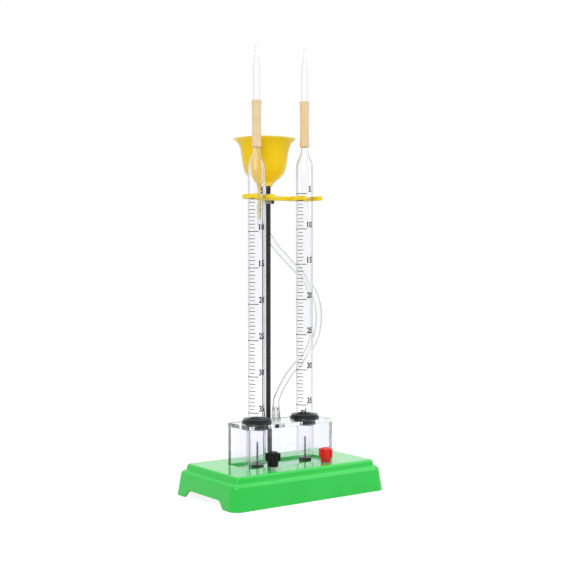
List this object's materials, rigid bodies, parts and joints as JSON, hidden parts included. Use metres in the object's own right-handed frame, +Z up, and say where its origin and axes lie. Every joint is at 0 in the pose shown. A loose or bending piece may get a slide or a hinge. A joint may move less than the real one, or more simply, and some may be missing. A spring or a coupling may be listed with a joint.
{
  "type": "hofmann voltameter",
  "caption": "Bench water-electrolysis apparatus: graduated glass gas tubes over electrodes in a clear tank, fed from a funnel on a rod through a hose, on a footed base.",
  "frame": {"origin": "on the table, at the middle of the footprint that the base and the overhanging funnel make together", "axes": "+X along the base's front to the right, from the black terminal to the red one; +Y from the terminals at the front to the rod, funnel and hose at the back; +Z up"},
  "size_m": [0.15, 0.0944, 0.3651],
  "materials": {
    "base_green": "glossy moulded plastic",
    "tank_acrylic": "clear polished acrylic sheet",
    "nipple_clear": "clear moulded plastic",
    "black_rubber": "matt black rubber",
    "tube_glass": "clear glass with printed scale",
    "latex": "tan latex tubing",
    "electrode_metal": "dull metal pin",
    "steel": "plated steel",
    "rod_black": "glossy black enamel",
    "holder_yellow": "satin yellow plastic",
    "funnel_yellow": "translucent yellow plastic",
    "hose_clear": "clear vinyl tubing",
    "cap_black": "moulded black plastic",
    "cap_red": "moulded red plastic",
    "lead_black": "black wire insulation",
    "lead_red": "red wire insulation"
  },
  "bodies": {
    "stand": {"base_shell": "base_green", "tank_box": "tank_acrylic", "tank_lid": "tank_acrylic", "hose_nipple": "nipple_clear", "left_grommet": "black_rubber", "right_grommet": "black_rubber", "left_electrode": "electrode_metal", "right_electrode": "electrode_metal", "left_electrode_seal": "black_rubber", "right_electrode_seal": "black_rubber", "electrode_washers": "steel", "electrode_nuts": "steel", "stand_rod": "rod_black", "rod_washer": "steel", "rod_nut": "steel", "funnel": "funnel_yellow", "hose": "hose_clear", "black_terminal_stud": "steel", "red_terminal_stud": "steel", "terminal_washers": "black_rubber", "terminal_nuts": "steel", "black_lead": "lead_black", "red_lead": "lead_red"},
    "left_tube": {"left_gas_tube": "tube_glass", "left_sleeve": "latex"},
    "left_jet": {"left_nozzle": "tube_glass"},
    "right_tube": {"right_gas_tube": "tube_glass", "right_sleeve": "latex"},
    "right_jet": {"right_nozzle": "tube_glass"},
    "collar": {"stop_collar": "steel", "collar_screw": "steel"},
    "holder": {"tube_holder": "holder_yellow"},
    "black_clamp": {"black_cap_washer": "steel"},
    "black_knob": {"black_cap": "cap_black"},
    "red_clamp": {"red_cap_washer": "steel"},
    "red_knob": {"red_cap": "cap_red"}
  },
  "joints": [
    {"name": "left_tube_lift", "type": "slide", "parent": "stand", "child": "left_tube", "axis": [0, 0, 1], "range_m": [0, 0.22]},
    {"name": "right_tube_lift", "type": "slide", "parent": "stand", "child": "right_tube", "axis": [0, 0, 1], "range_m": [0, 0.22]},
    {"name": "left_nozzle_pull", "type": "slide", "parent": "left_tube", "child": "left_jet", "axis": [0, 0, 1], "range_m": [0, 0.022]},
    {"name": "right_nozzle_pull", "type": "slide", "parent": "right_tube", "child": "right_jet", "axis": [0, 0, 1], "range_m": [0, 0.022]},
    {"name": "collar_slide", "type": "slide", "parent": "stand", "child": "collar", "axis": [0, 0, 1], "range_m": [-0.02, 0]},
    {"name": "holder_slide", "type": "slide", "parent": "collar", "child": "holder", "axis": [0, 0, 1], "range_m": [0, 0.008]},
    {"name": "black_clamp_travel", "type": "slide", "parent": "stand", "child": "black_clamp", "axis": [0, 0, 1], "range_m": [-0.002, 0.003]},
    {"name": "black_cap_turn", "type": "hinge", "parent": "black_clamp", "child": "black_knob", "pos_m": [-0.02625, -0.02815, 0.033], "axis": [0, 0, 1], "range_deg": [-1030, 1545]},
    {"name": "red_clamp_travel", "type": "slide", "parent": "stand", "child": "red_clamp", "axis": [0, 0, 1], "range_m": [0, 0.005]},
    {"name": "red_cap_turn", "type": "hinge", "parent": "red_clamp", "child": "red_knob", "pos_m": [0.02625, -0.02815, 0.031], "axis": [0, 0, 1], "range_deg": [0, 2575]}
  ],
  "couplings": [
    {"joint": "black_cap_turn", "follows": "black_clamp_travel", "rad_per_m": 8976},
    {"joint": "red_cap_turn", "follows": "red_clamp_travel", "rad_per_m": 8976}
  ]
}
